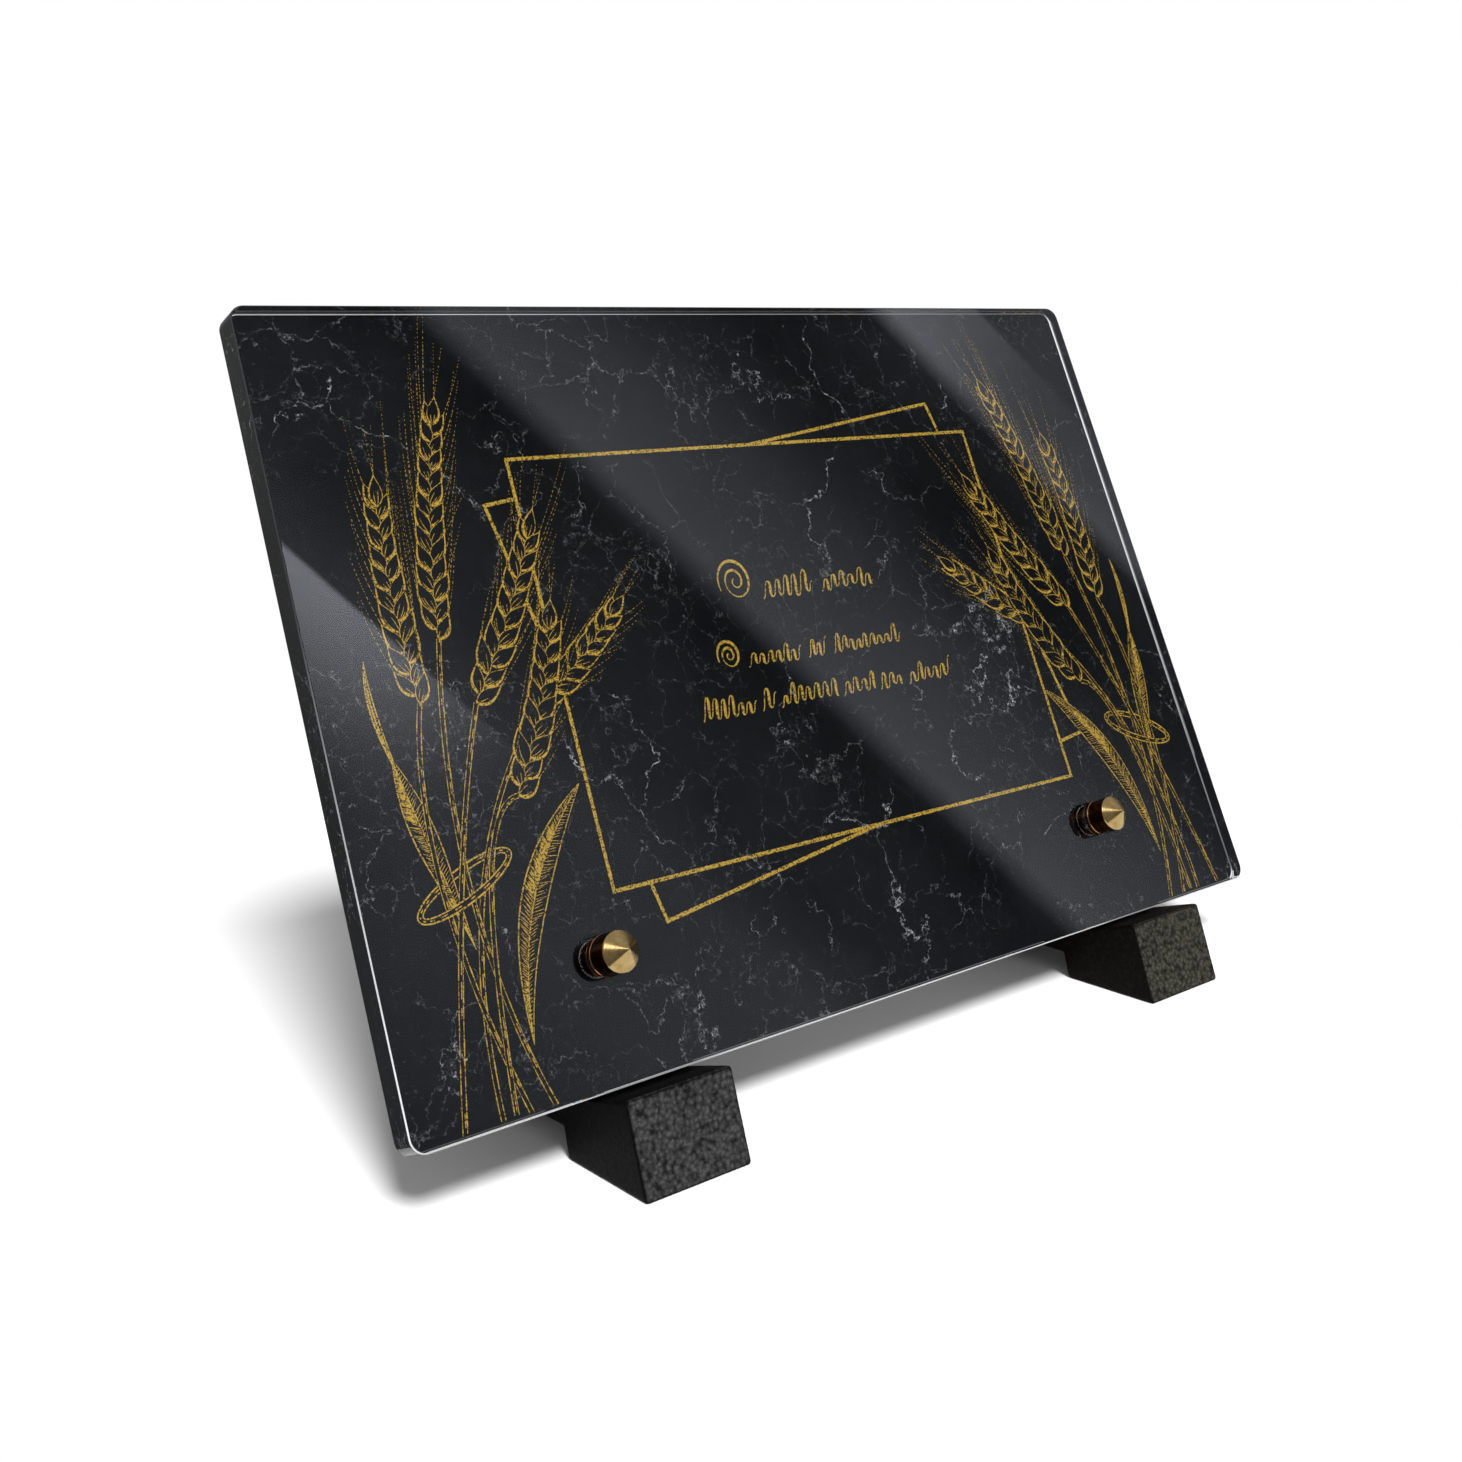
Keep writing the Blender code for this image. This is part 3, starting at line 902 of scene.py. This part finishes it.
def draw_sheaf(drawing, piece, flip, shift, seed):
    """One sheaf of wheat beside the frame. The right one is the left one flipped and moved aside."""
    rng = random.Random(seed)

    def at(u, v):
        return (flip * u + shift, v)

    def leaf(controls, width, peak):
        places = [at(*place) for place in controls]
        draw_leaf(drawing, piece, places, width, peak, flip, rng)

    centre = np.array(at(*TIE_CENTRE))
    tilt = flip * TIE_TILT
    draw_tie(drawing, piece, centre, tilt, 0.0, 180.0)
    leaf(*LEAVES[0])
    leaf(*LEAVES[1])
    for ear in EARS:
        waist, foot = ear[6:]
        knot = at(waist, TIE_CENTRE[1])
        draw_stem(drawing, piece, at(*ear[0]), knot, at(foot, STRAW_END), STRAW_WIDTH, rng)
    leaf(*LEAVES[2])
    for ear in EARS:
        base, tip, bow, width, pairs, side = ear[:6]
        draw_ear(drawing, piece, at(*base), at(*tip), bow * flip, width, pairs, side * flip, rng)
    draw_tie(drawing, piece, centre, tilt, 180.0, 360.0)


def edge_line(a, b):
    count = samples_for(np.linalg.norm(b - a), 0.5)
    t = np.linspace(0, 1, count)[:, None]
    return a * (1 - t) + b * t


def draw_frames(drawing, piece):
    """Two thin rectangles, one turned behind the other and seen only outside it."""
    rng = random.Random(3)
    for corners in (TURNED_FRAME, FRONT_FRAME):
        if corners is FRONT_FRAME:
            drawing.hide(corners)
        for a, b in zip(corners, corners[1:] + corners[:1]):
            direction = np.subtract(b, a) / np.linalg.norm(np.subtract(b, a))
            past_corner = direction * FRAME_LINE * 0.4
            points = edge_line(a - past_corner, b + past_corner)
            ragged = [FRAME_LINE * (0.84 + 0.30 * rng.random()) for point in points]
            drawing.stroke(piece, points, np.array(ragged))


def draw_word(drawing, piece, u, v, length, height, rng):
    """A word's worth of slanted pen waves of uneven height, which spell nothing."""
    level = 0.0
    place = 0.0
    rising = True
    points = []
    widths = []
    while place < length:
        step = height * (0.24 + 0.14 * rng.random())
        if rising:
            after = height * (0.62 + 0.72 * rng.random() ** 1.6)
        else:
            after = height * (0.28 * rng.random() - 0.08)
        t = np.linspace(0.0, 1.0, 12)
        rise = level + (after - level) * (0.5 - 0.5 * np.cos(math.pi * t))
        across = place + step * (t + 0.13 * np.sin(2 * math.pi * t)) + SCRIPT_SLANT * rise
        points.append(np.stack((u + across, v + rise), axis=1))
        thick = 0.34 if rising else 0.92
        widths.append(0.34 + (thick - 0.34) * np.sin(math.pi * t) ** 0.7)
        place += step
        level = after
        rising = not rising
    drawing.stroke(piece, np.concatenate(points), np.concatenate(widths))


def draw_flourish(drawing, piece, u, v, size):
    """An opening ornament: a pen spiral of a little over two turns."""
    t = np.linspace(0.0, 1.0, 140)
    angle = math.radians(200) - t * math.radians(800)
    radius = size / 2 * (1.0 - 0.90 * t)
    points = np.stack((u + radius * np.cos(angle) * 0.9, v + radius * np.sin(angle)), axis=1)
    drawing.stroke(piece, points, 0.32 + 0.70 * (0.5 + 0.5 * np.sin(angle + 0.6)) * (1 - 0.5 * t))


def draw_inscription(drawing, piece):
    """Three rows of printed waves where a dedication stands."""
    rng = random.Random(11)
    for level, height, curl, curl_u, words in ROWS:
        if curl:
            draw_flourish(drawing, piece, curl_u, level + curl * 0.45, curl)
        for start, length in words:
            draw_word(drawing, piece, start, level, length, height, rng)


def stroke_mesh(name, drawing):
    """The flat printed lines of a piece, laid in turn on a few levels so that crossing ones don't
    share a plane."""
    verts = []
    faces = []
    for layer, (points, widths) in enumerate(drawing.runs(name)):
        depth = PRINT_DEPTH - GOLD_LIFT - (layer % GOLD_LAYERS) * GOLD_LAYER_STEP
        normals = sides_of(points)
        left = (points + normals * widths[:, None] / 2) * MM
        right = (points - normals * widths[:, None] / 2) * MM
        first = len(verts)
        for a, b in zip(left, right):
            verts.append((a[0], depth, a[1]))
            verts.append((b[0], depth, b[1]))
        for step in range(len(points) - 1):
            corner = first + 2 * step
            faces.append((corner, corner + 2, corner + 3, corner + 1))
    mesh = bpy.data.meshes.new(name)
    mesh.from_pydata(verts, [], faces)
    return mesh


def build_artwork(material):
    """The four pieces of the gold print."""
    drawing = Drawing()
    draw_frames(drawing, "gold_frames")
    draw_inscription(drawing, "gold_inscription")
    draw_sheaf(drawing, "left_wheat_sheaf", 1, 0.0, 5)
    draw_sheaf(drawing, "right_wheat_sheaf", -1, 6.5, 8)
    for name in ("gold_frames", "gold_inscription", "left_wheat_sheaf", "right_wheat_sheaf"):
        make_object(name, stroke_mesh(name, drawing), material, "gold_print", SLAB)


# Studio

FLOOR_X = (-0.157, 0.32)
FLOOR_Y = (-0.24, 0.45)
KEY_DIRECTION = (-0.40, -0.95, 1.00)
KEY_STRENGTH = 4.8
KEY_SOFTNESS = math.radians(13)

# The studio's brightness: on plain surfaces, on the sealed print from low to high up, and as seen
# through the slab's edges behind it, beside it and below it
AMBIENT = 0.42
LIGHT_LOW = 0.85
LIGHT_HIGH = 1.80
THROUGH_BACK = 1.10
THROUGH_SIDE = 0.40
THROUGH_BELOW = 0.05

# Its brightness where it is mirrored, from below to above, with a light strip for the brass
MIRROR_LOW = 0.12
MIRROR_LEVEL = 0.24
MIRROR_HIGH = 0.55
STRIP_DIRECTION = (-0.44, -0.50, 0.75)
STRIP_HALF_WIDTH = math.radians(13)
STRIP_GLOW = 4.5

# Brightness of the walls that mirror in the slab as slanting bands, by place across the bands (mm)
BAND_TURN = math.radians(50.0)
BAND_START = -0.130
BAND_END = 0.250
BAND_SCALE = 4.0
BANDS = (
    (-115, 0.22), (-85, 0.42), (-60, 0.60), (-25, 0.59), (-10, 0.34), (0, 0.23), (20, 0.18), (44, 0.07),
    (48, 0.11), (57, 0.98), (72, 0.76), (92, 0.52), (112, 0.23), (132, 0.07), (150, 0.07), (173, 0.12),
    (177.5, 0.55), (182, 0.94), (195, 0.73), (211, 0.60), (214, 0.46), (240, 0.38),
)

# Soft-edged patches on those walls, across and along the bands (m): from, full from, full to, to.
# WALL_PATCH is where the walls themselves are
LEFT_PATCH = ((-0.068, -0.018, -0.0260, -0.0240), (-0.30, -0.22, -0.195, -0.120))
LEFT_PATCH_GLOW = 3.5
RIGHT_PATCH = ((0.172, 0.184, 0.2115, 0.2140), (-0.26, -0.16, -0.125, -0.035))
RIGHT_PATCH_GLOW = 1.0
WALL_PATCH = ((-0.17, -0.125, 0.255, 0.31), (-0.34, -0.27, 0.115, 0.17))


def build_floor():
    """A plain pale floor, which isn't seen through the slab's clear edges."""
    left, right = FLOOR_X
    front, back = FLOOR_Y
    bm = bmesh.new()
    for x, y in ((left, front), (right, front), (right, back), (left, back)):
        bm.verts.new((x, y, 0.0))
    bm.faces.new(bm.verts)
    floor = make_object("floor", mesh_from("floor", bm), floor_material())
    floor.visible_transmission = False


def set_camera():
    """The camera, from the photograph's side."""
    data = bpy.data.cameras.new("camera")
    data.sensor_width = SENSOR_WIDTH
    data.lens = FOCAL_LENGTH
    data.shift_y = VIEW_SHIFT
    data.clip_start = 0.01
    data.clip_end = 200.0
    camera = bpy.data.objects.new("camera", data)
    bpy.context.scene.collection.objects.link(camera)
    turn = Matrix.Rotation(-VIEW_TURN, 4, "Z")
    tip = Matrix.Rotation(math.pi / 2 - VIEW_DROP, 4, "X")
    roll = Matrix.Rotation(VIEW_ROLL, 4, "Z")
    camera.matrix_world = Matrix.Translation(CAMERA_PLACE) @ turn @ tip @ roll
    bpy.context.scene.camera = camera


def set_world():
    """A soft pale studio, with darker walls and light strips where the slab mirrors them. The walls
    are painted by where a mirrored ray, as it leaves for the camera, crosses the slab's face."""
    world = bpy.data.worlds.new("studio")
    bpy.context.scene.world = world
    world.use_nodes = True
    tree = world.node_tree
    background = tree.nodes["Background"]
    direction = add_node(tree, "ShaderNodeTexCoord").outputs["Generated"]
    turn = SLAB.to_3x3()
    normal = turn @ Vector((0, -1, 0))
    eye = SLAB.inverted() @ Vector(CAMERA_PLACE)

    def dot(axis):
        return vector_maths(tree, "DOT_PRODUCT", direction, axis)

    facing = maths(tree, "MAXIMUM", dot(normal), 0.02)

    def crossing(axis):
        """Where the ray crosses the slab's face, along an axis of it."""
        slope = maths(tree, "DIVIDE", dot(turn @ axis), facing)
        return maths(tree, "MULTIPLY_ADD", slope, -eye.y, eye.dot(axis))

    across = crossing(Vector((math.sin(BAND_TURN), 0, math.cos(BAND_TURN))))
    along = crossing(Vector((math.cos(BAND_TURN), 0, -math.sin(BAND_TURN))))

    inputs = {"Value": across, "From Min": BAND_START, "From Max": BAND_END}
    ramp_place = add_node(tree, "ShaderNodeMapRange", inputs).outputs["Result"]
    stops = []
    for place, value in BANDS:
        share = (place * MM - BAND_START) / (BAND_END - BAND_START)
        stops.append((share, (value / BAND_SCALE,) * 3))
    walls = maths(tree, "MULTIPLY", color_ramp(tree, ramp_place, stops), BAND_SCALE)

    def window(value, start, full_start, full_end, end):
        opening = smooth_step(tree, value, start, full_start)
        return maths(tree, "MULTIPLY", opening, smooth_step(tree, value, end, full_end))

    def patch(limits):
        return maths(tree, "MULTIPLY", window(across, *limits[0]), window(along, *limits[1]))

    walls = maths(tree, "MULTIPLY_ADD", patch(LEFT_PATCH), LEFT_PATCH_GLOW, walls)
    walls = maths(tree, "MULTIPLY_ADD", patch(RIGHT_PATCH), RIGHT_PATCH_GLOW, walls)
    seen = maths(tree, "MULTIPLY", patch(WALL_PATCH), smooth_step(tree, dot(normal), 0.05, 0.2))

    # Elsewhere the mirrored studio only brightens upwards, with the light strip
    up = parts_of(tree, direction)["Z"]
    towards_strip = dot(Vector(STRIP_DIRECTION).normalized())
    strip = smooth_step(tree, towards_strip, math.cos(STRIP_HALF_WIDTH), 1.0, 0.0, STRIP_GLOW)
    below = smooth_step(tree, up, -0.35, 0.10, MIRROR_LOW, MIRROR_LEVEL)
    above = smooth_step(tree, up, 0.10, 0.9, 0.0, MIRROR_HIGH - MIRROR_LEVEL)
    surround = maths(tree, "ADD", maths(tree, "ADD", above, below), strip)
    mirrored = mixed_value(tree, seen, surround, walls)

    # Through the slab, the light in front falls on the print and what is behind shows at the edges
    rays = add_node(tree, "ShaderNodeLightPath").outputs
    through = smooth_step(tree, up, -0.1, 0.8, LIGHT_LOW, LIGHT_HIGH)
    sideways = maths(tree, "ABSOLUTE", dot(Vector((1, 0, 0))))
    behind = smooth_step(tree, sideways, 0.42, 0.74, THROUGH_BACK, THROUGH_SIDE)
    behind = mixed_value(tree, smooth_step(tree, up, -0.45, -0.08), THROUGH_BELOW, behind)
    through = mixed_value(tree, smooth_step(tree, dot(normal), -0.1, 0.3), behind, through)

    # Each kind of ray gets its own brightness, and the ground behind the part stays white
    lit = mixed_value(tree, rays["Is Transmission Ray"], AMBIENT, through)
    opaque = maths(tree, "SUBTRACT", 1.0, rays["Is Transmission Ray"])
    is_mirror = maths(tree, "MULTIPLY", rays["Is Glossy Ray"], opaque)
    strength = mixed_value(tree, is_mirror, lit, mirrored)
    strength = mixed_value(tree, rays["Is Camera Ray"], strength, 1.0)
    tree.links.new(strength, background.inputs["Strength"])
    cool = maths(tree, "MULTIPLY", seen, is_mirror)
    color = mixed_color(tree, cool, (1.0, 1.0, 1.0, 1.0), (0.93, 0.98, 1.08, 1.0))
    tree.links.new(color, background.inputs["Color"])


def key_light():
    """The soft key light, from the front left. Only the studio is mirrored and lights the print."""
    data = bpy.data.lights.new("soft_key_light", "SUN")
    data.energy = KEY_STRENGTH
    data.angle = KEY_SOFTNESS
    light = bpy.data.objects.new("soft_key_light", data)
    light.visible_glossy = False
    light.visible_transmission = False
    bpy.context.scene.collection.objects.link(light)
    light.location = KEY_DIRECTION
    light.rotation_euler = Vector(KEY_DIRECTION).to_track_quat("Z", "Y").to_euler()


def main():
    acrylic = acrylic_material()
    for slot in bpy.data.objects["plate"].material_slots:
        slot.material = acrylic
    build_foot("left", granite_material("grey_black_granite", *GREY_GRANITE), 1.0)
    build_foot("right", granite_material("brown_black_granite", *BROWN_GRANITE), 4.0)
    brass = brass_material()
    build_screw("left", -SCREW_X, brass)
    build_screw("right", SCREW_X, brass)
    build_bevel(ground_acrylic_material())
    build_print(marble_print_material())
    build_artwork(gold_print_material())
    build_floor()
    set_camera()
    set_world()
    key_light()
    bpy.context.scene.view_settings.view_transform = "Standard"


main()
